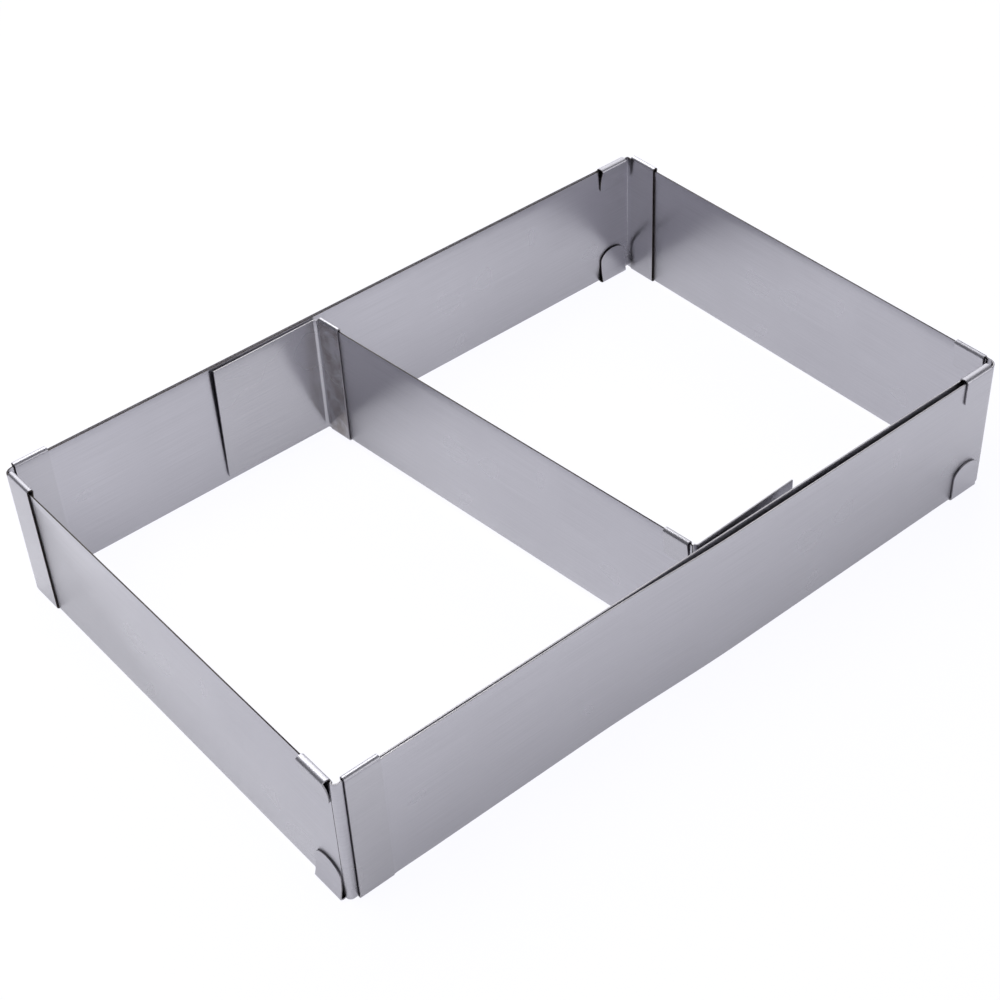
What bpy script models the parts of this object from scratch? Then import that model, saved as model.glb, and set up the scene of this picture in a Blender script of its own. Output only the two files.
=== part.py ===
"""Adjustable cake frame in thin stainless sheet.

Two pairs of long J-shaped wall sheets slide along each other, so the frame can be drawn out.
Two plain end panels and a plain divider sit between them, held in clips folded from the sheets.

Metres, +Z up. +X runs along the frame, +Y runs across it from the front wall to the back wall,
and the origin is at the middle of the footprint, on the surface that the frame stands on.
"""
import math

import bmesh
import bpy
from mathutils import Matrix, Vector

# Driving dimensions, with the frame pushed together
LENGTH = 0.272  # outer face of the left end panel to outer face of the right one
WIDTH = 0.178  # outer face of the front wall to outer face of the back wall
HEIGHT = 0.050  # height of the walls and end panels, folds not counted
SHEET = 0.0005  # thickness of the sheet steel

# Clips: a strip of one sheet, with a tab above and a tab below folded round the sheet it holds
CLIP_WIDTH = 0.0122  # along the held sheet
CLIP_SETBACK = 0.0033  # corner of the frame to the nearer edge of a clip
STRIP_PLAY = 0.0004  # gap between a strip and the sheet it holds
TAB_PLAY = 0.0003  # gap between a tab's free end and the sheet it holds
TAB_BULGE = 0.0012  # how much further out a tab stands at its fold than at its free end
SLIDE_BULGE = 0.0002  # the same on the tabs that slide between a foot of the divider and the wall
ROLL_RISE = 0.0011  # height of a fold's middle line above the sheet's edge
TOP_TAB_DEPTH = 0.0093  # fold to the straight free end of a top tab
TOP_TAB_CORNER = 0.0012  # corner radius of that free end
ARCH_SIDE_DEPTH = 0.0083  # fold to where a bottom tab's arched free end begins
ARCH_RISE = 0.0045  # rise of that arch
PINCH_LENGTH = 0.0080  # distance from the fold in which a tab comes down on the held sheet

# Wall sheets
OUTER_BEND = 0.0030  # corner bend of an outer sheet, middle line
INNER_BEND = 0.0025  # corner bend of an inner sheet, middle line
SPRING_GAP = 0.0015  # how far the front outer sheet springs away from the inner one
SPRING_GRIP = 0.0001  # bulge of the tabs that hold the sprung sheet
SPRING_FREE = 0.090  # length next to its free end in which the sprung sheet lies close
SPRING_RUN = 0.060  # length over which it then moves away
PANEL_SETBACK = 0.0030  # outer face of a long wall to the end of an end panel

# Divider
DIVIDER_SHIFT = -0.0065  # middle of the divider from the middle of the frame, along X
DIVIDER_LEAD = 0.0149  # how far its front end stands ahead of its back end, along X
DIVIDER_END_GAP = 0.0010  # end of the divider panel to the bracket's outer face
DIVIDER_LIFT = 0.0022  # its sprung feet hold it this much above the walls' lower edges
FOOT_LENGTH = 0.0430  # bend to free end of the bracket's foot
FOOT_CLEARANCE = 0.0003  # foot to the tabs that pass between it and the wall
BRACKET_STRIP = 0.0115  # bend to free end of the bracket's clip
BRACKET_BEND = 0.0015  # bend between foot and strip, middle line
RELIEF_WIDTH = 0.0008  # slit at the top of that bend
RELIEF_DEPTH = 0.0040

# Facets
ROLL_SEGMENTS = 7  # odd, so that the lowest facet of a fold lies flat on the table
BEND_SEGMENTS = 6
CLIP_COLUMNS = 8
SPRING_SEGMENTS = 8
TAB_ROW_SHARES = (0.45, 0.8, 1.0)
SMOOTH_ANGLE = math.radians(40)
SAME_PLACE = 1e-7

# Middle line of a strip to the middle line of the sheet it holds
PITCH = SHEET + STRIP_PLAY
# How far a fold stands proud of the face of the sheet it holds, and the same on a sliding tab
FOLD_PROUD = SHEET + TAB_PLAY + TAB_BULGE
SLIDE_PROUD = SHEET + TAB_PLAY + SLIDE_BULGE
# Outer face of a long wall to its inner face, both sheets counted
WALL_STACK = 2 * SHEET + STRIP_PLAY
# Highest facet of a fold above the sheet's edge, middle line
ROLL_TOP = ROLL_RISE * math.sin(math.pi * (ROLL_SEGMENTS // 2) / ROLL_SEGMENTS)
# Underside of the sheets above the table, which the bottom folds touch
BASE = ROLL_TOP + SHEET / 2
# Footprint's middle: the front folds stand further out than the back ones
FRONT_PROUD = SPRING_GAP + SPRING_GRIP + SHEET + TAB_PLAY
BACK_PROUD = FOLD_PROUD
MIDDLE_Y = (FRONT_PROUD - BACK_PROUD) / 2

# Middle line of a bracket's foot, and the divider's turn in plan
FOOT_Y = WIDTH / 2 - WALL_STACK - SLIDE_PROUD - FOOT_CLEARANCE - SHEET / 2
SKEW = math.atan(DIVIDER_LEAD / (2 * FOOT_Y))
# Height of the divider and its brackets: their top edges are level with the walls'
DIVIDER_HEIGHT = HEIGHT - DIVIDER_LIFT


def clear_scene():
    for item in list(bpy.data.objects):
        bpy.data.objects.remove(item, do_unlink=True)


def steel(name, colour, roughness):
    """Satin stainless steel, one material for each piece."""
    material = bpy.data.materials.new(name)
    material.use_nodes = True
    shader = material.node_tree.nodes["Principled BSDF"]
    shader.inputs["Base Color"].default_value = (*colour, 1.0)
    shader.inputs["Metallic"].default_value = 1.0
    shader.inputs["Roughness"].default_value = roughness
    return material


def bent_path(start, corner, end, radius):
    """Plan line from start to end with its corner rounded."""
    start, corner, end = Vector(start), Vector(corner), Vector(end)
    before = (corner - start).normalized()
    after = (end - corner).normalized()
    turn = before.angle_signed(after)
    tangent = radius * math.tan(abs(turn) / 2)
    first = corner - before * tangent
    side = Vector((-before.y, before.x))
    if turn > 0:
        side = -side
    centre = first + side * radius
    points = [start]
    for step in range(BEND_SEGMENTS + 1):
        swing = Matrix.Rotation(-turn * step / BEND_SEGMENTS, 2)
        points.append(centre + swing @ (first - centre))
    points.append(end)
    return points


def sprung(points, free_x):
    """Moves the leg's free end over, by a smooth S, to lie close to the inner sheet."""
    moved = points[:-1]
    start_x = free_x + SPRING_FREE + SPRING_RUN
    for step in range(SPRING_SEGMENTS + 1):
        share = step / SPRING_SEGMENTS
        ease = share * share * (3 - 2 * share)
        moved.append(Vector((start_x - share * SPRING_RUN, ease * SPRING_GAP)))
    moved.append(Vector((free_x, SPRING_GAP)))
    return moved


class PlanLine:
    """A plan line measured along its length."""

    def __init__(self, points):
        self.points = points
        self.at = [0.0]
        for near, far in zip(points, points[1:]):
            self.at.append(self.at[-1] + (far - near).length)
        self.length = self.at[-1]

    def locate(self, distance):
        """Point and left-hand normal at a distance along the line."""
        index = 0
        while index < len(self.at) - 2 and distance > self.at[index + 1] + SAME_PLACE:
            index += 1
        near, far = self.points[index], self.points[index + 1]
        along = (far - near).normalized()
        return near + along * (distance - self.at[index]), Vector((-along.y, along.x))


def clip_columns(start, end):
    """Distances across a clip, closer together at its two edges."""
    middle, half = (start + end) / 2, (end - start) / 2
    return [middle - half * math.cos(math.pi * step / CLIP_COLUMNS) for step in range(CLIP_COLUMNS + 1)]


def top_depth(distance, start, end):
    """Depth of a top tab: straight, with rounded corners."""
    inset = min(distance - start, end - distance)
    if inset >= TOP_TAB_CORNER:
        return TOP_TAB_DEPTH
    cut = TOP_TAB_CORNER - max(inset, 0.0)
    return TOP_TAB_DEPTH - TOP_TAB_CORNER + math.sqrt(TOP_TAB_CORNER ** 2 - cut ** 2)


def arch_depth(distance, start, end):
    """Depth of a bottom tab: an arch over straight sides."""
    share = (2 * distance - start - end) / (end - start)
    return ARCH_SIDE_DEPTH + ARCH_RISE * math.sqrt(max(0.0, 1 - share * share))


def tab_profile(depth, gap, bulge):
    """Middle line of a fold and its tab, as (offset across the held sheet, rise over the edge)."""
    reach = 2 * SHEET + gap + TAB_PLAY
    half = (reach + bulge) / 2
    rows = []
    for step in range(1, ROLL_SEGMENTS + 1):
        turn = math.pi * step / ROLL_SEGMENTS
        rows.append((half - half * math.cos(turn), ROLL_RISE * math.sin(turn)))
    for share in TAB_ROW_SHARES:
        down = depth * share
        ease = max(0.0, 1 - down / PINCH_LENGTH)
        rows.append((reach + bulge * ease, -down))
    return rows


def merged(distances):
    """Sorted distances with repeats dropped."""
    kept = []
    for distance in sorted(distances):
        if not kept or distance - kept[-1] > SAME_PLACE:
            kept.append(distance)
    return kept


def bent_sheet(name, points, clips, height, relief=None):
    """An upright sheet that follows a plan line, with clips folded from its two edges.

    Each clip is (start, end, side, gap, bulge): its distances along the line, the side that its
    tabs fold to (1 is left), the gap to the sheet that it holds, and the bulge of its folds.
    """
    line = PlanLine(points)
    stations = list(line.at)
    for start, end, side, gap, bulge in clips:
        stations += clip_columns(start, end)
    levels = [0.0, height]
    if relief:
        stations += list(relief)
        levels.insert(1, height - RELIEF_DEPTH)
    stations = merged(stations)

    shape = bmesh.new()
    wall = []
    for distance in stations:
        place, normal = line.locate(distance)
        wall.append([shape.verts.new((place.x, place.y, level)) for level in levels])
    for column, distance in enumerate(stations[:-1]):
        middle = (distance + stations[column + 1]) / 2
        for row in range(len(levels) - 1):
            if relief and row == 1 and relief[0] < middle < relief[1]:
                continue
            near, far = wall[column], wall[column + 1]
            shape.faces.new((near[row], far[row], far[row + 1], near[row + 1]))
    for start, end, side, gap, bulge in clips:
        inside = [i for i, d in enumerate(stations) if start - SAME_PLACE < d < end + SAME_PLACE]
        for edge, level, upward, depth_at in ((-1, height, 1, top_depth), (0, 0.0, -1, arch_depth)):
            above = [wall[i][edge] for i in inside]
            depths = [depth_at(stations[i], start, end) for i in inside]
            places = [line.locate(stations[i]) for i in inside]
            profiles = [tab_profile(depth, gap, bulge) for depth in depths]
            for row in range(len(profiles[0])):
                below = []
                for (place, normal), profile in zip(places, profiles):
                    offset, rise = profile[row]
                    spot = place + normal * side * offset
                    below.append(shape.verts.new((spot.x, spot.y, level + upward * rise)))
                for column in range(len(inside) - 1):
                    ring = (above[column], above[column + 1], below[column + 1], below[column])
                    shape.faces.new(ring if upward > 0 else ring[::-1])
                above = below
    loose = [vertex for vertex in shape.verts if not vertex.link_faces]
    bmesh.ops.delete(shape, geom=loose, context="VERTS")

    mesh = bpy.data.meshes.new(name)
    shape.to_mesh(mesh)
    shape.free()
    mesh.shade_smooth()
    mesh.set_sharp_from_angle(angle=SMOOTH_ANGLE)
    piece = bpy.data.objects.new(name, mesh)
    solidify = piece.modifiers.new("sheet_thickness", "SOLIDIFY")
    solidify.thickness = SHEET
    solidify.offset = 0.0
    solidify.use_even_offset = True
    solidify.use_quality_normals = True
    return piece


def flat_panel(name, length, height):
    """A plain upright panel that runs along its own Y, standing on its origin."""
    shape = bmesh.new()
    bmesh.ops.create_cube(shape, size=1)
    bmesh.ops.scale(shape, vec=(SHEET, length, height), verts=shape.verts)
    bmesh.ops.translate(shape, vec=(0, 0, height / 2), verts=shape.verts)
    mesh = bpy.data.meshes.new(name)
    shape.to_mesh(mesh)
    shape.free()
    return bpy.data.objects.new(name, mesh)


def inner_wall(name, gap_at_end, bulge_at_end):
    """Leg along +X, flange along +Y, tabs folded to the outside; origin where the two would meet."""
    leg = LENGTH - CLIP_SETBACK - SHEET / 2 - PITCH
    flange = CLIP_SETBACK + CLIP_WIDTH - SHEET / 2 - PITCH
    points = bent_path((0, flange), (0, 0), (leg, 0), INNER_BEND)
    length = PlanLine(points).length
    outside = -1
    clips = [(0.0, CLIP_WIDTH, outside, STRIP_PLAY, TAB_BULGE),
             (length - CLIP_WIDTH, length, outside, gap_at_end, bulge_at_end)]
    return bent_sheet(name, points, clips, HEIGHT)


def outer_wall(name, spring, bulge_at_end):
    """Leg along -X, flange along +Y, tabs folded to the inside; origin where the two would meet."""
    leg = LENGTH - CLIP_SETBACK - SHEET / 2 + PITCH
    flange = CLIP_SETBACK + CLIP_WIDTH - SHEET / 2 + spring
    points = bent_path((0, flange), (0, 0), (-leg, 0), OUTER_BEND)
    if spring > 0:
        points = sprung(points, -leg)
    length = PlanLine(points).length
    inside = -1
    clips = [(0.0, CLIP_WIDTH, inside, STRIP_PLAY, TAB_BULGE),
             (length - CLIP_WIDTH, length, inside, STRIP_PLAY, bulge_at_end)]
    return bent_sheet(name, points, clips, HEIGHT)


def divider_bracket(name):
    """Foot along -X, clip strip along the divider; origin where the two would meet."""
    strip = Vector((math.sin(SKEW), -math.cos(SKEW))) * BRACKET_STRIP
    points = bent_path((-FOOT_LENGTH, 0), (0, 0), strip, BRACKET_BEND)
    line = PlanLine(points)
    bend_end = line.at[-2]
    clip_start = bend_end + RELIEF_WIDTH / 2
    left = 1
    clips = [(clip_start, line.length, left, STRIP_PLAY, TAB_BULGE)]
    relief = (clip_start - RELIEF_WIDTH, clip_start)
    return bent_sheet(name, points, clips, DIVIDER_HEIGHT, relief)


def bracket_corner():
    """Where the back bracket's foot and strip would meet, in plan."""
    along = (FOOT_Y + PITCH * math.sin(SKEW)) / math.cos(SKEW)
    return Vector((DIVIDER_SHIFT - PITCH * math.cos(SKEW) - along * math.sin(SKEW), FOOT_Y))


def build():
    clear_scene()
    collection = bpy.data.collections.new("adjustable_cake_frame")
    bpy.context.scene.collection.children.link(collection)
    frame = bpy.data.objects.new("frame_middle", None)
    frame.location = (0, MIDDLE_Y, BASE)
    collection.objects.link(frame)

    def place(piece, x, y, turn, colour, roughness, lift=0.0):
        piece.data.materials.append(steel(piece.name, colour, roughness))
        piece.parent = frame
        piece.location = (x, y, lift)
        piece.rotation_euler = (0, 0, turn)
        collection.objects.link(piece)

    panel_x = LENGTH / 2 - SHEET / 2
    leg_y = WIDTH / 2 - SHEET / 2
    half_turn = math.pi
    wall_grey = (0.50, 0.49, 0.55)
    panel_grey = (0.52, 0.51, 0.56)
    clip_grey = (0.47, 0.47, 0.51)

    place(inner_wall("front_inner_wall", STRIP_PLAY + SPRING_GAP, SPRING_GRIP),
          PITCH - panel_x, PITCH - leg_y, 0, wall_grey, 0.34)
    place(inner_wall("back_inner_wall", STRIP_PLAY, TAB_BULGE),
          panel_x - PITCH, leg_y - PITCH, half_turn, wall_grey, 0.34)
    place(outer_wall("front_outer_wall", SPRING_GAP, SLIDE_BULGE),
          panel_x + PITCH, -leg_y - SPRING_GAP, 0, wall_grey, 0.32)
    place(outer_wall("back_outer_wall", 0.0, TAB_BULGE),
          -panel_x - PITCH, leg_y, half_turn, wall_grey, 0.32)

    end_panel_length = WIDTH - 2 * PANEL_SETBACK
    place(flat_panel("left_end_panel", end_panel_length, HEIGHT), -panel_x, 0, 0, panel_grey, 0.34)
    place(flat_panel("right_end_panel", end_panel_length, HEIGHT), panel_x, 0, 0, panel_grey, 0.34)

    corner = bracket_corner()
    place(divider_bracket("divider_back_bracket"), corner.x, corner.y, 0, clip_grey, 0.30, DIVIDER_LIFT)
    place(divider_bracket("divider_front_bracket"), 2 * DIVIDER_SHIFT - corner.x, -corner.y,
          half_turn, clip_grey, 0.30, DIVIDER_LIFT)
    divider_length = 2 * (FOOT_Y + SHEET / 2 - DIVIDER_END_GAP) / math.cos(SKEW)
    place(flat_panel("divider_panel", divider_length, DIVIDER_HEIGHT), DIVIDER_SHIFT, 0, SKEW,
          panel_grey, 0.34, DIVIDER_LIFT)


build()
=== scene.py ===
"""Looks of an adjustable cake frame: nine pieces of satin stainless sheet, folded and clipped together.

Metres, +Z up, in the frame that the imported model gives. Each sheet is built again around its
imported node, with rounder folds, eased edges and the set of the metal beside a folded clip.
"""
import math

import bmesh
import bpy
from mathutils import Matrix, Vector


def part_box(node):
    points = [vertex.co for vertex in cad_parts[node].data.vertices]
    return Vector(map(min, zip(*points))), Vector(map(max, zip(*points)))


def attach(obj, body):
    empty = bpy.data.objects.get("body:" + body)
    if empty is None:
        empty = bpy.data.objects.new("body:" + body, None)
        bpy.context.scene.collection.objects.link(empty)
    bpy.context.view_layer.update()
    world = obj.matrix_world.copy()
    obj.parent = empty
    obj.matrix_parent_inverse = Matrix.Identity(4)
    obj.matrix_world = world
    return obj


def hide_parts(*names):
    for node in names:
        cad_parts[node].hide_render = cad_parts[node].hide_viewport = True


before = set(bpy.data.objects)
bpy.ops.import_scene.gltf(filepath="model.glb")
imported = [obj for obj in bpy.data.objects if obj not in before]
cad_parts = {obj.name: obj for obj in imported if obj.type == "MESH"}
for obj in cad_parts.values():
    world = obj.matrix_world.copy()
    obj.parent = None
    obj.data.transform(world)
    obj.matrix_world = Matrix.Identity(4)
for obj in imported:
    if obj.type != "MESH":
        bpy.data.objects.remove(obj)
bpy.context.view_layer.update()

# The sheets' places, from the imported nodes
left_low, left_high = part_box("left_end_panel")
right_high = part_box("right_end_panel")[1]
divider_low, divider_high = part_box("divider_panel")
SHEET = left_high.x - left_low.x
HEIGHT = left_high.z - left_low.z
BASE = left_low.z
LENGTH = right_high.x - left_low.x
PANEL_FRONT, PANEL_BACK = left_low.y, left_high.y
PANEL_X = LENGTH / 2 - SHEET / 2

# Clips, in metres: a strip of one sheet, with a tab above and below folded round another sheet
CLIP_WIDTH = 0.0122
CLIP_SETBACK = 0.0033
STRIP_PLAY = 0.0004  # between two wall sheets
STRIP_GRIP = 0.00008  # between a strip and the panel that it holds
TAB_PLAY = 0.0001
TAB_BULGE = 0.0014
TIGHT_BULGE = 0.0007
SLIDE_BULGE = 0.0003
LOW_BULGE_SHARE = 0.75  # of that bulge, at the bottom tabs
ROLL_RISE = 0.00082
TOP_TAB_DEPTH = 0.0093
TOP_TAB_CORNER = 0.0014
ARCH_SIDE_DEPTH = 0.0083
ARCH_RISE = 0.0045
PINCH_LENGTH = 0.0080
PITCH = SHEET + STRIP_PLAY
HELD_PITCH = SHEET + STRIP_GRIP

# Wall sheets
OUTER_BEND = 0.0030
INNER_BEND = 0.0004
FLUSH_BEND = 0.00142  # near left corner, where the wall steps out to lie flush with the panel
STEP_RUN = 0.00025
SPRING_GAP = 0.0015
SPRING_GRIP = 0.0001
SPRING_FREE = 0.090
SPRING_RUN = 0.060
BACK_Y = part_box("back_outer_wall")[1].y - SHEET / 2
FRONT_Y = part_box("front_outer_wall")[0].y + SPRING_GAP + SHEET / 2
MIDDLE_Y = (BACK_Y + FRONT_Y) / 2

# Divider
DIVIDER_X = (divider_low.x + divider_high.x) / 2
DIVIDER_BASE = divider_low.z
DIVIDER_HEIGHT = divider_high.z - divider_low.z
DIVIDER_LEAD = 0.0149
FOOT_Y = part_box("divider_back_bracket")[1].y - SHEET / 2 - MIDDLE_Y
FOOT_LENGTH = 0.0430
BRACKET_STRIP = 0.0115
BRACKET_BEND = 0.0015
RELIEF_WIDTH = 0.0008
RELIEF_DEPTH = 0.0040
# How far each sprung foot's free end is set along +Y, at its upper and lower edges
BACK_FOOT_SET = (-0.00045, 0.00105)
FRONT_FOOT_SET = (0.0013, 0.0006)
SKEW = math.atan(DIVIDER_LEAD / (2 * FOOT_Y))
DIVIDER_LENGTH = (divider_high.y - divider_low.y - SHEET * math.sin(SKEW)) / math.cos(SKEW)

# Fineness of the meshes, and the small shapes that only the looks need
BEND_STEPS = 14
SPRING_STEPS = 16
CLIP_COLUMNS = 18
TAB_ROWS = 24
ROLL_SHARE = 0.5  # of a tab's rows, spent on its fold
CREASE_SET = 0.00010  # how far the metal is drawn over beside a folded clip
CREASE_RUN = 0.0011
CREASE_FADE = 0.014
CREASE_STEPS = 5
EDGE_EASE = 0.00006
EASE_SEGMENTS = 2
EASE_ANGLE = math.radians(50)  # edges sharper than this are eased
SHADING_ANGLE = math.radians(35)
SAME_PLACE = 0.000002


def linear(hex_colour):
    """An sRGB hex colour as linear RGBA."""
    channels = [int(hex_colour[i:i + 2], 16) / 255 for i in (1, 3, 5)]
    return (*[c / 12.92 if c <= 0.04045 else ((c + 0.055) / 1.055) ** 2.4 for c in channels], 1.0)


def add_node(tree, kind, inputs=None, **settings):
    """A new node of a kind, with its settings, and a value or a link for each input named."""
    node = tree.nodes.new(kind)
    for name, value in settings.items():
        setattr(node, name, value)
    for key, source in (inputs or {}).items():
        if isinstance(source, bpy.types.NodeSocket):
            tree.links.new(source, node.inputs[key])
        else:
            node.inputs[key].default_value = source
    return node


# Finishes: sizes of the grain and of the wear in metres, and where in its noise each one starts
GRAIN_LENGTH, GRAIN_WIDTH = 0.030, 0.00035
CLOUD_SIZE, SMEAR_SIZE = 0.045, 0.006
SCRATCH_STOP, RIDGE_STOP = 0.30, 0.65
CLOUD_LOW, CLOUD_HIGH = 0.3, 0.7
SMEAR_START, SMEAR_FULL = 0.36, 0.62
ROUGHNESS_SPREAD = 0.03  # more and less than the mean, from cloud to cloud
GRAIN_STRENGTH, GRAIN_DEPTH = 0.12, 0.00002
GRIND_STRETCH = 0.8
QUARTER_TURN = 0.25  # lays the smeared reflections across the grain
GREASE = "#7A706C"
# Painted shade: the folded strips are drawn a touch darker, standing in for their slight tilt against the
# sheet
STRIP_PAINTED_SHADE = "#FAFAF9"  # the folded strips are a touch darker than the sheet


def satin_stainless(name, ridge, scratch, roughness, smeared=0.0):
    """Satin stainless steel: cold-rolled sheet, ground along its length with a fine belt.

    The belt leaves fine scratches along the sheet, so reflections smear up and down across them
    and stay crisp along them. The scratches are about 0.05 mm wide on the real one, too fine to
    show, so they are drawn seven times as wide and fainter. A smeared one has dull, greasy spots
    on its folded strips, where it is handled.
    """
    material = bpy.data.materials.new(name)
    material.use_nodes = True
    tree = material.node_tree
    shader = tree.nodes["Principled BSDF"]
    uv = add_node(tree, "ShaderNodeUVMap", uv_map="sheet").outputs["UV"]
    along = add_node(tree, "ShaderNodeMapping", {
        "Vector": uv, "Scale": (1 / GRAIN_LENGTH, 1 / GRAIN_WIDTH, 1)})
    grain = add_node(tree, "ShaderNodeTexNoise", {
        "Vector": along.outputs["Vector"], "Scale": 1.0, "Detail": 3.0, "Roughness": 0.6})
    cloud = add_node(tree, "ShaderNodeTexNoise", {
        "Vector": uv, "Scale": 1 / CLOUD_SIZE, "Detail": 2.0, "Roughness": 0.5})
    ramp = add_node(tree, "ShaderNodeValToRGB", {"Fac": grain.outputs["Fac"]})
    ramp.color_ramp.elements[0].position = SCRATCH_STOP
    ramp.color_ramp.elements[0].color = linear(scratch)
    ramp.color_ramp.elements[1].position = RIDGE_STOP
    ramp.color_ramp.elements[1].color = linear(ridge)
    strip = add_node(tree, "ShaderNodeAttribute", attribute_name="strip").outputs["Fac"]
    smear = add_node(tree, "ShaderNodeTexNoise", {
        "Vector": uv, "Scale": 1 / SMEAR_SIZE, "Detail": 4.0, "Roughness": 0.6, "Distortion": 0.6})
    smear = add_node(tree, "ShaderNodeMapRange", {
        "Value": smear.outputs["Fac"], "From Min": SMEAR_START, "From Max": SMEAR_FULL,
        "To Min": 0.0, "To Max": smeared})
    greasy = add_node(tree, "ShaderNodeMath", {0: strip, 1: smear.outputs["Result"]}, operation="MULTIPLY")
    colour = add_node(tree, "ShaderNodeMix", {
        "Factor": greasy.outputs[0], 6: ramp.outputs["Color"], 7: linear(GREASE)}, data_type="RGBA")
    # Painted shade on the folded strips, which are multiplied a touch darker
    colour = add_node(tree, "ShaderNodeMix", {
        "Factor": strip, 6: colour.outputs[2], 7: linear(STRIP_PAINTED_SHADE)},
        data_type="RGBA", blend_type="MULTIPLY")
    tree.links.new(colour.outputs[2], shader.inputs["Base Color"])
    spread = add_node(tree, "ShaderNodeMapRange", {
        "Value": cloud.outputs["Fac"], "From Min": CLOUD_LOW, "From Max": CLOUD_HIGH,
        "To Min": roughness - ROUGHNESS_SPREAD, "To Max": roughness + ROUGHNESS_SPREAD})
    tree.links.new(spread.outputs["Result"], shader.inputs["Roughness"])
    bump = add_node(tree, "ShaderNodeBump", {
        "Height": grain.outputs["Fac"], "Strength": GRAIN_STRENGTH, "Distance": GRAIN_DEPTH})
    tree.links.new(bump.outputs["Normal"], shader.inputs["Normal"])
    shader.inputs["Metallic"].default_value = 1.0
    shader.inputs["Anisotropic"].default_value = GRIND_STRETCH
    shader.inputs["Anisotropic Rotation"].default_value = QUARTER_TURN
    grind = add_node(tree, "ShaderNodeTangent", direction_type="UV_MAP", uv_map="sheet")
    tree.links.new(grind.outputs[0], shader.inputs["Tangent"])
    return material


# Geometry Nodes: one tree folds every sheet, and a smaller one folds each tab
NUMBER, WHOLE, METAL = "NodeSocketFloat", "NodeSocketInt", "NodeSocketMaterial"
CLIP_INPUTS = ("Start", "End", "Side", "Gap", "Bulge")
TAB_INPUTS = (*CLIP_INPUTS, "Edge", "Upward", "Depth", "Round", "Round Share")


def new_tree(name, inputs):
    """A Geometry Nodes tree, its named inputs and its output socket."""
    tree = bpy.data.node_groups.new(name, "GeometryNodeTree")
    tree.interface.new_socket("Geometry", in_out="INPUT", socket_type="NodeSocketGeometry")
    tree.interface.new_socket("Geometry", in_out="OUTPUT", socket_type="NodeSocketGeometry")
    for label, kind in inputs:
        tree.interface.new_socket(label, in_out="INPUT", socket_type=kind)
    given = tree.nodes.new("NodeGroupInput").outputs
    return tree, given, tree.nodes.new("NodeGroupOutput").inputs[0]


def with_flat_pattern(tree, geometry, across, up):
    """Keeps each point's place on the flat sheet, in metres, as the map 'sheet'."""
    place = add_node(tree, "ShaderNodeCombineXYZ", {"X": across, "Y": up})
    return add_node(tree, "GeometryNodeStoreNamedAttribute", {
        "Geometry": geometry, "Name": "sheet", "Value": place.outputs[0]},
        data_type="FLOAT2", domain="CORNER").outputs["Geometry"]


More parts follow.
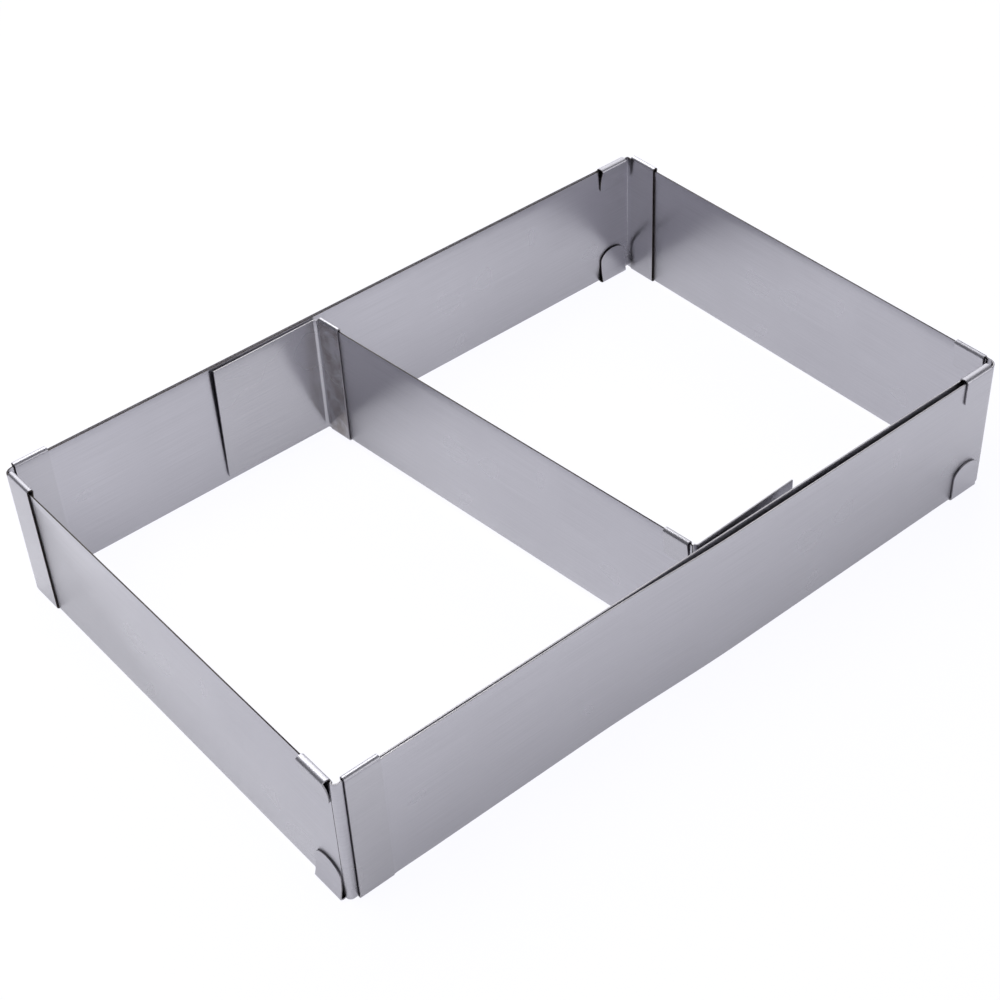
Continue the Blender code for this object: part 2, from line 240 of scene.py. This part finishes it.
def tab_tree():
    """A tab folded over from the edge of a sheet, along a plan line.

    It rolls over the edge, and comes down on the far side until it nearly touches the held sheet.
    Its free end is Depth deep at the sides and rises by Round over a share of its width.
    """
    tree, given, output = new_tree("folded_tab", [(label, NUMBER) for label in TAB_INPUTS])
    grid = add_node(tree, "GeometryNodeMeshGrid", {
        "Size X": 1.0, "Size Y": 1.0, "Vertices X": CLIP_COLUMNS + 1, "Vertices Y": TAB_ROWS + 1})
    spot = add_node(tree, "GeometryNodeInputPosition").outputs[0]
    spot = add_node(tree, "ShaderNodeSeparateXYZ", {0: spot}).outputs
    known = {"across": spot["X"], "row": spot["Y"], **{label: given[label] for label in TAB_INPUTS}}
    for name, operation, *values in (
            # Distance along the plan line, closer together at the tab's two sides
            ("angle", "MULTIPLY", "across", math.pi),
            ("share", "SINE", "angle"),
            ("width", "SUBTRACT", "End", "Start"),
            ("half width", "MULTIPLY", "width", 0.5),
            ("middle", "ADD", "Start", "half width"),
            ("along", "MULTIPLY_ADD", "half width", "share", "middle"),
            # Depth of the tab there
            ("side", "ABSOLUTE", "share"),
            ("straight share", "SUBTRACT", 1.0, "Round Share"),
            ("beyond", "SUBTRACT", "side", "straight share"),
            ("inset", "DIVIDE", "beyond", "Round Share"),
            ("inset", "MAXIMUM", "inset", 0.0),
            ("inset squared", "MULTIPLY", "inset", "inset"),
            ("left over", "SUBTRACT", 1.0, "inset squared"),
            ("left over", "MAXIMUM", "left over", 0.0),
            ("crown", "SQRT", "left over"),
            ("depth", "MULTIPLY_ADD", "Round", "crown", "Depth"),
            # Half a turn over the edge, and then down the far side
            ("travel", "ADD", "row", 0.5),
            ("turn share", "DIVIDE", "travel", ROLL_SHARE),
            ("turn share", "MINIMUM", "turn share", 1.0),
            ("turn", "MULTIPLY", "turn share", math.pi),
            ("down", "SUBTRACT", "travel", ROLL_SHARE),
            ("down", "MAXIMUM", "down", 0.0),
            ("down", "DIVIDE", "down", 1.0 - ROLL_SHARE),
            ("down", "MULTIPLY", "down", "depth"),
            ("pinch", "DIVIDE", "down", PINCH_LENGTH),
            ("open", "SUBTRACT", 1.0, "pinch"),
            ("open", "MAXIMUM", "open", 0.0),
            ("open", "MULTIPLY", "open", "open"),
            ("shut", "SUBTRACT", 1.0, "open"),
            ("drawn in", "MULTIPLY", "Bulge", "shut"),
            ("reach", "ADD", "Gap", 2 * SHEET + TAB_PLAY),
            ("full reach", "ADD", "reach", "Bulge"),
            ("half roll", "MULTIPLY", "full reach", 0.5),
            ("cosine", "COSINE", "turn"),
            ("swing", "SUBTRACT", 1.0, "cosine"),
            ("swing", "MULTIPLY", "swing", "half roll"),
            ("offset", "SUBTRACT", "swing", "drawn in"),
            ("sideways", "MULTIPLY", "offset", "Side"),
            ("sine", "SINE", "turn"),
            ("rise", "MULTIPLY", "sine", ROLL_RISE),
            ("rise", "SUBTRACT", "rise", "down"),
            ("level", "MULTIPLY_ADD", "rise", "Upward", "Edge"),
            ("flat length", "MULTIPLY_ADD", "half roll", "turn", "down"),
            ("flat level", "MULTIPLY_ADD", "flat length", "Upward", "Edge")):
        inputs = {slot: known.get(value, value) for slot, value in enumerate(values)}
        known[name] = add_node(tree, "ShaderNodeMath", inputs, operation=operation).outputs[0]

    middle, along = [add_node(tree, "GeometryNodeSampleCurve", {
        "Curves": given["Geometry"], "Length": known[name]}, mode="LENGTH", use_all_curves=True).outputs
        for name in ("middle", "along")]
    offset = add_node(tree, "ShaderNodeVectorRotate", {
        "Vector": middle["Tangent"], "Angle": math.pi / 2}, rotation_type="Z_AXIS")
    offset = add_node(tree, "ShaderNodeVectorMath", {
        0: offset.outputs[0], "Scale": known["sideways"]}, operation="SCALE")
    up = add_node(tree, "ShaderNodeCombineXYZ", {"Z": known["level"]})
    place = along["Position"]
    for step in (offset, up):
        place = add_node(tree, "ShaderNodeVectorMath", {0: place, 1: step.outputs[0]},
                         operation="ADD").outputs[0]
    patterned = with_flat_pattern(tree, grid.outputs["Mesh"], known["along"], known["flat level"])
    folded = add_node(tree, "GeometryNodeSetPosition", {
        "Geometry": patterned, "Position": place})
    tree.links.new(folded.outputs[0], output)
    return tree


def sheet_tree(tab):
    """Raises a plan line to an upright sheet, with a slit and up to two folded clips."""
    clip_labels = [f"{which} {label}" for which in ("First", "Second") for label in CLIP_INPUTS]
    labels = ["Base", "Height", "Slit Start", "Slit End", "Slit Depth", *clip_labels]
    tree, given, output = new_tree("folded_sheet", [
        *[(label, NUMBER) for label in labels], ("Clips", WHOLE), ("Metal", METAL)])

    line = add_node(tree, "GeometryNodeCaptureAttribute", {"Geometry": given["Geometry"]}, domain="POINT")
    line.capture_items.new("FLOAT", "Along")
    tree.links.new(add_node(tree, "GeometryNodeSplineParameter").outputs["Length"], line.inputs["Along"])
    along = line.outputs["Along"]
    edge = add_node(tree, "GeometryNodeCurveToMesh", {"Curve": line.outputs["Geometry"]})
    geometry, top = edge.outputs["Mesh"], None
    spot = add_node(tree, "GeometryNodeInputPosition").outputs[0]
    known = {"along": along, "spot level": add_node(tree, "ShaderNodeSeparateXYZ", {0: spot}).outputs["Z"],
             **{label: given[label] for label in labels}}
    for name, operation, *values in (
            ("below slit", "SUBTRACT", "Height", "Slit Depth"),
            ("level", "SUBTRACT", "spot level", "Base"),
            ("past start", "GREATER_THAN", "along", "Slit Start"),
            ("before end", "LESS_THAN", "along", "Slit End"),
            ("above", "GREATER_THAN", "level", "below slit"),
            ("in slit", "MULTIPLY", "past start", "before end"),
            ("in slit", "MULTIPLY", "in slit", "above"),
            ("past first", "GREATER_THAN", "along", "First Start"),
            ("before first end", "LESS_THAN", "along", "First End"),
            ("on first", "MULTIPLY", "past first", "before first end"),
            ("past second", "GREATER_THAN", "along", "Second Start"),
            ("before second end", "LESS_THAN", "along", "Second End"),
            ("on second", "MULTIPLY", "past second", "before second end"),
            ("on a strip", "MAXIMUM", "on first", "on second"),
            ("First Low Bulge", "MULTIPLY", "First Bulge", LOW_BULGE_SHARE),
            ("Second Low Bulge", "MULTIPLY", "Second Bulge", LOW_BULGE_SHARE)):
        inputs = {slot: known.get(value, value) for slot, value in enumerate(values)}
        known[name] = add_node(tree, "ShaderNodeMath", inputs, operation=operation).outputs[0]
    for part in (known["below slit"], given["Slit Depth"]):
        up = add_node(tree, "ShaderNodeCombineXYZ", {"Z": part})
        raised = add_node(tree, "GeometryNodeExtrudeMesh", {
            "Mesh": geometry, "Offset": up.outputs[0], "Offset Scale": 1.0}, mode="EDGES")
        if top:
            tree.links.new(top, raised.inputs["Selection"])
        geometry, top = raised.outputs["Mesh"], raised.outputs["Top"]
    wall = add_node(tree, "GeometryNodeDeleteGeometry", {
        "Geometry": geometry, "Selection": known["in slit"]}, domain="FACE")
    wall = with_flat_pattern(tree, wall.outputs[0], along, known["level"])
    wall = add_node(tree, "GeometryNodeStoreNamedAttribute", {
        "Geometry": wall, "Name": "strip", "Value": known["on a strip"]},
        data_type="FLOAT", domain="FACE").outputs[0]

    joined = add_node(tree, "GeometryNodeJoinGeometry", {"Geometry": wall})
    top_side_depth = TOP_TAB_DEPTH - TOP_TAB_CORNER
    top_round_share = TOP_TAB_CORNER / (CLIP_WIDTH / 2)
    for number, which in enumerate(("First", "Second")):
        both = add_node(tree, "GeometryNodeJoinGeometry")
        for upward, edge, depth, rounding, round_share, bulge in (
                (1.0, given["Height"], top_side_depth, TOP_TAB_CORNER, top_round_share, "Bulge"),
                (-1.0, 0.0, ARCH_SIDE_DEPTH, ARCH_RISE, 1.0, "Low Bulge")):
            inputs = {label: known[f"{which} {label}"] for label in CLIP_INPUTS}
            inputs |= {"Geometry": given["Geometry"], "Edge": edge, "Upward": upward, "Depth": depth,
                       "Round": rounding, "Round Share": round_share, "Bulge": known[f"{which} {bulge}"]}
            folded = add_node(tree, "GeometryNodeGroup", inputs, node_tree=tab)
            tree.links.new(folded.outputs[0], both.inputs[0])
        wanted = add_node(tree, "FunctionNodeCompare", {2: given["Clips"], 3: number},
                          data_type="INT", operation="GREATER_THAN")
        chosen = add_node(tree, "GeometryNodeSwitch", {
            "Switch": wanted.outputs[0], "True": both.outputs[0]}, input_type="GEOMETRY")
        tree.links.new(chosen.outputs[0], joined.inputs[0])
    welded = add_node(tree, "GeometryNodeMergeByDistance", {
        "Geometry": joined.outputs[0], "Distance": SAME_PLACE})
    solid = add_node(tree, "GeometryNodeRealizeInstances", {"Geometry": welded.outputs[0]})
    finished = add_node(tree, "GeometryNodeSetMaterial", {
        "Geometry": solid.outputs[0], "Material": given["Metal"]})
    tree.links.new(finished.outputs[0], output)
    return tree


def rounded_corner(start, corner, end, radius):
    """Plan line from start to end with its corner rounded."""
    start, corner, end = Vector(start), Vector(corner), Vector(end)
    before = (corner - start).normalized()
    after = (end - corner).normalized()
    turn = before.angle_signed(after)
    first = corner - before * radius * math.tan(abs(turn) / 2)
    side = Vector((-before.y, before.x)) * (-1 if turn > 0 else 1)
    centre = first + side * radius
    points = [start]
    for step in range(BEND_STEPS + 1):
        points.append(centre + Matrix.Rotation(-turn * step / BEND_STEPS, 2) @ (first - centre))
    points.append(end)
    return points


def smooth(share):
    """A share from 0 to 1, eased at both ends."""
    share = min(max(share, 0.0), 1.0)
    return share * share * (3 - 2 * share)


def sprung(points, free_x):
    """Moves the leg's free end over, by a smooth S, to lie close to the inner sheet."""
    moved = points[:-1]
    start_x = free_x + SPRING_FREE + SPRING_RUN
    for step in range(SPRING_STEPS + 1):
        share = step / SPRING_STEPS
        moved.append(Vector((start_x - share * SPRING_RUN, smooth(share) * SPRING_GAP)))
    moved.append(Vector((free_x, SPRING_GAP)))
    return moved


class PlanLine:
    """A plan line measured along its length."""

    def __init__(self, points):
        self.points = points
        self.at = [0.0]
        for near, far in zip(points, points[1:]):
            self.at.append(self.at[-1] + (far - near).length)
        self.length = self.at[-1]

    def locate(self, distance):
        """Point and left-hand normal at a distance along the line."""
        index = 0
        while index < len(self.at) - 2 and distance > self.at[index + 1] + SAME_PLACE:
            index += 1
        near, far = self.points[index], self.points[index + 1]
        along = (far - near).normalized()
        return near + along * (distance - self.at[index]), Vector((-along.y, along.x))


def clip_columns(start, end):
    """Distances across a clip, closer together at its two edges, as the tab's own columns are."""
    middle, half = (start + end) / 2, (end - start) / 2
    return [middle + half * math.sin(math.pi * (step / CLIP_COLUMNS - 0.5))
            for step in range(CLIP_COLUMNS + 1)]


def crease_columns(edge, direction):
    """Distances across the set of the metal beside a clip's edge."""
    near = [edge + direction * CREASE_RUN * (step + 1) / CREASE_STEPS for step in range(CREASE_STEPS)]
    far = [edge + direction * (CREASE_RUN + CREASE_FADE * (step + 1) / CREASE_STEPS)
           for step in range(CREASE_STEPS)]
    return near + far


def crease_offset(distance, edge, direction):
    """How far the metal is drawn over at a distance along the sheet."""
    away = (distance - edge) * direction
    return CREASE_SET * smooth(away / CREASE_RUN) * (1 - smooth((away - CREASE_RUN) / CREASE_FADE))


def folded_sheet(name, body, metals, points, clips=(), slit=(0.0, 0.0), crease=None,
                 base=BASE, height=HEIGHT, settled=None):
    """One piece of sheet that follows a plan line; each clip is (start, end, side, gap, bulge).

    Its metals are the one of its faces and the one of its cut edges. Settled is a function that
    moves a point to where it lies on the used sheet.
    """
    line = PlanLine(points)
    stations = [*line.at, *slit]
    for start, end, *_ in clips:
        stations += clip_columns(start, end)
    if crease:
        stations += crease_columns(*crease)
    kept = []
    for distance in sorted(stations):
        if not kept or distance - kept[-1] > 2 * SAME_PLACE:
            kept.append(distance)

    curve = bpy.data.curves.new(name + "_plan", "CURVE")
    curve.dimensions = "3D"
    spline = curve.splines.new("POLY")
    spline.points.add(len(kept) - 1)
    for point, distance in zip(spline.points, kept):
        spot, normal = line.locate(distance)
        if crease:
            spot = spot + normal * clips[-1][2] * crease_offset(distance, *crease)
        point.co = (spot.x, spot.y, base, 1.0)
    plan = bpy.data.objects.new(name + "_plan", curve)
    bpy.context.scene.collection.objects.link(plan)

    values = {"Base": base, "Height": height, "Slit Start": slit[0], "Slit End": slit[1],
              "Slit Depth": RELIEF_DEPTH, "Clips": len(clips), "Metal": metals[0]}
    for which, clip in zip(("First", "Second"), clips):
        values |= {f"{which} {label}": value for label, value in zip(CLIP_INPUTS, clip)}
    modifier = plan.modifiers.new("folding", "NODES")
    modifier.node_group = SHEET_TREE
    for item in SHEET_TREE.interface.items_tree:
        if item.in_out == "INPUT" and item.name in values:
            modifier[item.identifier] = values[item.name]
    surface = plain_mesh(plan, name + "_surface")
    surface.materials.append(metals[1])

    shape = bmesh.new()
    shape.from_mesh(surface)
    if settled:
        for vertex in shape.verts:
            vertex.co = settled(vertex.co)
    bmesh.ops.recalc_face_normals(shape, faces=shape.faces)
    shape.to_mesh(surface)
    shape.free()
    piece = bpy.data.objects.new(name, surface)
    bpy.context.scene.collection.objects.link(piece)
    solidify = piece.modifiers.new("thickness", "SOLIDIFY")
    solidify.thickness = SHEET
    solidify.offset = 0.0
    solidify.use_even_offset = True
    solidify.use_quality_normals = True
    solidify.material_offset_rim = 1
    bevel = piece.modifiers.new("eased_edges", "BEVEL")
    bevel.width = EDGE_EASE
    bevel.segments = EASE_SEGMENTS
    bevel.limit_method = "ANGLE"
    bevel.angle_limit = EASE_ANGLE
    mesh = plain_mesh(piece, name + "_sheet")
    mesh.shade_smooth()
    mesh.set_sharp_from_angle(angle=SHADING_ANGLE)
    finished = bpy.data.objects.new(name + "_sheet", mesh)
    bpy.context.scene.collection.objects.link(finished)
    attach(finished, body)
    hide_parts(name)


def plain_mesh(piece, name):
    """The evaluated mesh of an object, which is removed."""
    evaluated = piece.evaluated_get(bpy.context.evaluated_depsgraph_get())
    mesh = bpy.data.meshes.new_from_object(evaluated)
    mesh.name = name
    bpy.data.objects.remove(piece)
    return mesh


def placed(points, corner, turn):
    """Plan points turned and moved to their corner."""
    return [Matrix.Rotation(turn, 2) @ Vector(point) + Vector(corner) for point in points]


def inner_wall(name, body, metals, corner, turn, gap, bulges, flush=False):
    """Leg along +X, flange along +Y, tabs folded to the outside.

    A flush one steps out in its flange, so that its bend lies level with the panel's face.
    """
    leg = LENGTH - CLIP_SETBACK - SHEET / 2 - HELD_PITCH
    flange = CLIP_SETBACK + CLIP_WIDTH - SHEET / 2 - PITCH
    if flush:
        points = rounded_corner((-HELD_PITCH, FLUSH_BEND), (-HELD_PITCH, 0), (leg, 0), FLUSH_BEND)
        points = [(0, flange), (0, FLUSH_BEND + STEP_RUN), *points[1:]]
    else:
        points = rounded_corner((0, flange), (0, 0), (leg, 0), INNER_BEND)
    points = placed(points, corner, turn)
    length = PlanLine(points).length
    clips = [(0.0, CLIP_WIDTH, -1.0, STRIP_GRIP, bulges[0]),
             (length - CLIP_WIDTH, length, -1.0, gap, bulges[1])]
    folded_sheet(name, body, metals, points, clips, crease=(length - CLIP_WIDTH, -1))


def outer_wall(name, body, metals, corner, turn, spring, bulges):
    """Leg along -X, flange along +Y, tabs folded to the inside."""
    leg = LENGTH - CLIP_SETBACK - SHEET / 2 + HELD_PITCH
    flange = CLIP_SETBACK + CLIP_WIDTH - SHEET / 2 + spring
    points = rounded_corner((0, flange), (0, 0), (-leg, 0), OUTER_BEND)
    if spring > 0:
        points = sprung(points, -leg)
    points = placed(points, corner, turn)
    length = PlanLine(points).length
    clips = [(0.0, CLIP_WIDTH, -1.0, STRIP_GRIP, bulges[0]),
             (length - CLIP_WIDTH, length, -1.0, STRIP_PLAY, bulges[1])]
    folded_sheet(name, body, metals, points, clips, crease=(length - CLIP_WIDTH, -1))


def divider_bracket(name, body, metals, corner, turn, bulge, settled=None):
    """Foot along -X, clip strip along the divider."""
    strip = Vector((math.sin(SKEW), -math.cos(SKEW))) * BRACKET_STRIP
    points = placed(rounded_corner((-FOOT_LENGTH, 0), (0, 0), strip, BRACKET_BEND), corner, turn)
    line = PlanLine(points)
    start = line.at[-2] + RELIEF_WIDTH / 2
    clips = [(start, line.length, 1.0, STRIP_GRIP, bulge)]
    folded_sheet(name, body, metals, points, clips, (start - RELIEF_WIDTH, start),
                 base=DIVIDER_BASE, height=DIVIDER_HEIGHT, settled=settled)


def plain_panel(name, body, metals, middle, length, turn, base=BASE, height=HEIGHT):
    """A plain sheet that runs along Y."""
    ends = placed([(0, -length / 2), (0, length / 2)], middle, turn)
    folded_sheet(name, body, metals, ends, base=base, height=height)


def set_foot(corner, reach, foot_set):
    """A function that bends a foot, which reaches along X from its corner, by the set of its free end."""
    upper, lower = foot_set

    def settled(point):
        level = (point.z - DIVIDER_BASE) / DIVIDER_HEIGHT
        share = smooth((point.x - corner[0]) / reach)
        return point + Vector((0, share * (lower + (upper - lower) * level), 0))
    return settled


# The pieces: the back walls are the front ones turned half a turn
SHEET_TREE = sheet_tree(tab_tree())
wall_steel = satin_stainless("satin_stainless_wall", ridge="#BBBAC1", scratch="#B3B2B9", roughness=0.29)
panel_steel = satin_stainless("satin_stainless_panel", ridge="#BDBCC3", scratch="#B5B4BB", roughness=0.29)
bracket_steel = satin_stainless("satin_stainless_bracket", ridge="#B6B5BB", scratch="#AEADB3",
                                roughness=0.27, smeared=0.65)
# Sheared cut edges, rough: the dark ones are painted shade, standing in for the dark gaps and dark
# surroundings that the thin edges show; the bright ones stay near the sheet's own grey
painted_shade_edge = satin_stainless("sheared_stainless_edge_painted_shade", ridge="#544E4B", scratch="#44403D", roughness=0.50)
bright_edge = satin_stainless("sheared_stainless_edge_bright", ridge="#B4B2B6", scratch="#A4A2A6",
                              roughness=0.40)

# The back walls and the panels get the cut edges painted dark as shade
front_metals, back_metals = (wall_steel, bright_edge), (wall_steel, painted_shade_edge)
bracket_metals, panel_metals = (bracket_steel, bright_edge), (panel_steel, painted_shade_edge)

inner_wall("front_inner_wall", "front_inner", front_metals, (HELD_PITCH - PANEL_X, FRONT_Y + PITCH), 0,
           STRIP_PLAY + SPRING_GAP, (TAB_BULGE, SPRING_GRIP), flush=True)
inner_wall("back_inner_wall", "back_inner", back_metals, (PANEL_X - HELD_PITCH, BACK_Y - PITCH), math.pi,
           STRIP_PLAY, (TIGHT_BULGE, TIGHT_BULGE))
outer_wall("front_outer_wall", "front_outer", front_metals, (PANEL_X + HELD_PITCH, FRONT_Y - SPRING_GAP), 0,
           SPRING_GAP, (TIGHT_BULGE, SLIDE_BULGE))
outer_wall("back_outer_wall", "back_outer", back_metals, (-PANEL_X - HELD_PITCH, BACK_Y), math.pi,
           0.0, (TIGHT_BULGE, TAB_BULGE))
panel_y, panel_length = (PANEL_FRONT + PANEL_BACK) / 2, PANEL_BACK - PANEL_FRONT
for side, x in (("left", -PANEL_X), ("right", PANEL_X)):
    plain_panel(side + "_end_panel", side + "_end", panel_metals, (x, panel_y), panel_length, 0)

# Each bracket's strip lies against the divider, so its corner is beside the divider's end
reach = (FOOT_Y + HELD_PITCH * math.sin(SKEW)) / math.cos(SKEW)
bracket_x = -HELD_PITCH * math.cos(SKEW) - reach * math.sin(SKEW)
back_corner = (DIVIDER_X + bracket_x, MIDDLE_Y + FOOT_Y)
front_corner = (DIVIDER_X - bracket_x, MIDDLE_Y - FOOT_Y)
divider_bracket("divider_back_bracket", "divider_back", bracket_metals, back_corner, 0,
                SLIDE_BULGE, set_foot(back_corner, -FOOT_LENGTH, BACK_FOOT_SET))
divider_bracket("divider_front_bracket", "divider_front", bracket_metals, front_corner, math.pi,
                TIGHT_BULGE, set_foot(front_corner, FOOT_LENGTH, FRONT_FOOT_SET))
plain_panel("divider_panel", "divider", panel_metals, (DIVIDER_X, MIDDLE_Y), DIVIDER_LENGTH, SKEW,
            DIVIDER_BASE, DIVIDER_HEIGHT)

# Studio: a pale floor, soft boxes and a camera
CAMERA_PLACE = Vector((-0.31158, -0.39144, 0.45887))
CAMERA_FORWARD = Vector((0.4612, 0.5888, -0.6638))
CAMERA_RIGHT = Vector((0.7635, -0.6445, -0.0412))
LENS, SENSOR = 71.28, 36.0  # millimetres
WORLD_GREY, BOARD_WHITE, FLOOR_SIZE = "#7C7C80", "#F4F4F5", 60.0
BOARD_GLOW = (1.0, 1.0, 1.06, 1.0)
CAMERA_SHARE = 0.95  # of that glow, to the camera; the rest is the board with its shadow
NEAR_EDGE, FAR_EDGE = 0.35, 0.9  # of the lit part of the board, from its middle
NEAR_SHARE, FAR_SHARE = 0.52, 0.15  # of that glow, as the metal mirrors it
FLOOR_MIDDLE, ABOVE_MIDDLE = (0, 0, 0), (0, 0, 0.10)
SOFT_BOXES = (
    # name, place, point that it faces, width, height, watts, whether it is only mirrored
    ("top_soft_box", (-0.25, 0.12, 0.70), FLOOR_MIDDLE, 0.6, 0.6, 6.2, False),
    ("right_soft_box", (0.60, 0.60, 0.60), FLOOR_MIDDLE, 0.6, 0.5, 5.2, False),
    ("back_soft_box", (0.48, 0.95, 0.75), ABOVE_MIDDLE, 1.7, 1.4, 11.0, True),
    ("high_soft_box", (0.36, 0.94, 1.25), ABOVE_MIDDLE, 0.45, 0.45, 2.5, True),
    ("front_soft_box", (0.60, -1.00, 0.50), ABOVE_MIDDLE, 0.9, 0.7, 3.0, True))


def aim(item, place, forward, right):
    """Sets a camera or a lamp at a place, looking forward, with its own +X to the right."""
    forward = forward.normalized()
    right = (right - forward * right.dot(forward)).normalized()
    up = right.cross(forward)
    item.matrix_world = Matrix.Translation(place) @ Matrix((right, up, -forward)).transposed().to_4x4()


def soft_box(name, place, target, width, height, power, mirrored):
    """An area lamp that faces a target; a mirrored one is only seen in the metal, the others only light."""
    lamp = bpy.data.lights.new(name, "AREA")
    lamp.shape = "RECTANGLE"
    lamp.size, lamp.size_y = width, height
    lamp.energy = power
    item = bpy.data.objects.new(name, lamp)
    item.visible_glossy, item.visible_diffuse = mirrored, not mirrored
    item.visible_camera = False
    bpy.context.scene.collection.objects.link(item)
    forward = Vector(target) - Vector(place)
    aim(item, Vector(place), forward, forward.cross(Vector((0, 0, 1))))


def studio():
    """Camera, world, floor and lamps."""
    scene = bpy.context.scene
    scene.view_settings.view_transform = "Standard"
    camera = bpy.data.objects.new("camera", bpy.data.cameras.new("camera"))
    camera.data.lens, camera.data.sensor_width = LENS, SENSOR
    scene.collection.objects.link(camera)
    aim(camera, CAMERA_PLACE, CAMERA_FORWARD, CAMERA_RIGHT)
    scene.camera = camera

    world = bpy.data.worlds.new("studio")
    scene.world = world
    world.use_nodes = True
    world.node_tree.nodes["Background"].inputs["Color"].default_value = linear(WORLD_GREY)

    # The white board keeps the object's shadow, faint to the camera and stronger in the metal
    bpy.ops.mesh.primitive_plane_add(size=FLOOR_SIZE)
    floor = bpy.context.object
    floor.name = "floor"
    material = bpy.data.materials.new("white_board")
    material.use_nodes = True
    tree = material.node_tree
    tree.nodes.clear()
    ray = add_node(tree, "ShaderNodeLightPath").outputs
    mirrored = add_node(tree, "ShaderNodeMath", {
        0: ray["Is Glossy Ray"], 1: ray["Is Transmission Ray"]}, operation="MAXIMUM")
    spot = add_node(tree, "ShaderNodeTexCoord").outputs["Object"]
    away = add_node(tree, "ShaderNodeVectorMath", {0: spot}, operation="LENGTH")
    lit = add_node(tree, "ShaderNodeMapRange", {
        "Value": away.outputs["Value"], "From Min": NEAR_EDGE, "From Max": FAR_EDGE,
        "To Min": NEAR_SHARE, "To Max": FAR_SHARE})
    mirrored = add_node(tree, "ShaderNodeMath", {
        0: mirrored.outputs[0], 1: lit.outputs["Result"]}, operation="MULTIPLY")
    white_share = add_node(tree, "ShaderNodeMath", {
        0: ray["Is Camera Ray"], 1: CAMERA_SHARE, 2: mirrored.outputs[0]}, operation="MULTIPLY_ADD")
    board = add_node(tree, "ShaderNodeBsdfDiffuse", {"Color": linear(BOARD_WHITE)})
    white = add_node(tree, "ShaderNodeEmission", {"Color": BOARD_GLOW, "Strength": 1.0})
    mix = add_node(tree, "ShaderNodeMixShader", {
        0: white_share.outputs[0], 1: board.outputs[0], 2: white.outputs[0]})
    add_node(tree, "ShaderNodeOutputMaterial", {0: mix.outputs[0]})
    floor.data.materials.append(material)

    for values in SOFT_BOXES:
        soft_box(*values)


studio()
